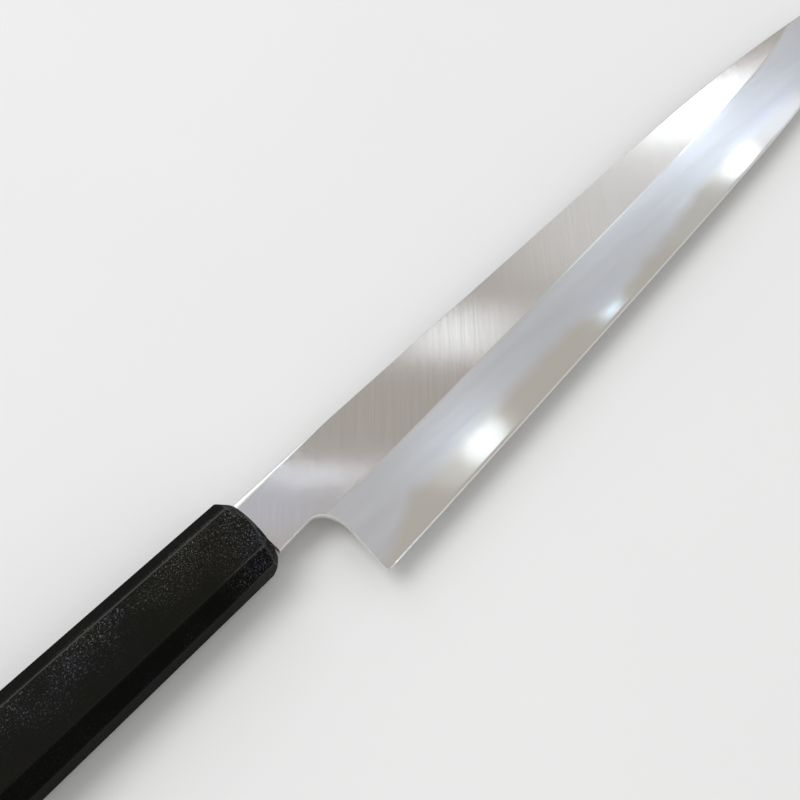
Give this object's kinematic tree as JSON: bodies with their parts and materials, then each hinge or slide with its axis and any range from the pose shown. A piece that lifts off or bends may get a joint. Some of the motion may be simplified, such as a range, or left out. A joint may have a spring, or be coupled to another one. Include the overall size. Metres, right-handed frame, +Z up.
{
  "type": "sujihiki slicing knife",
  "caption": "Long, narrow double-bevelled slicing knife with a wide ridge bevel, a finger arch at the heel and a black octagonal wooden handle.",
  "frame": {"origin": "centre of the bounding box's underside, on the surface that the left flat of the handle lies on", "axes": "+X from the handle to the tip, +Y from the edge to the spine, +Z up out of the blade's right face"},
  "size_m": [0.429, 0.0382, 0.0183],
  "materials": {
    "blade_steel": "satin face above the ridge, misty bevel below it and a polished strip along the edge",
    "ferrule_lacquer": "black lacquer with a fine grain, over hardwood",
    "grip_lacquer": "black lacquer with a fine grain, over hardwood",
    "dowel_wood": "bare hardwood",
    "bedding_resin": "set resin"
  },
  "bodies": {
    "root": {"blade": "blade_steel", "ferrule": "ferrule_lacquer", "grip": "grip_lacquer", "dowel": "dowel_wood", "tang_bedding": "bedding_resin"}
  },
  "joints": []
}
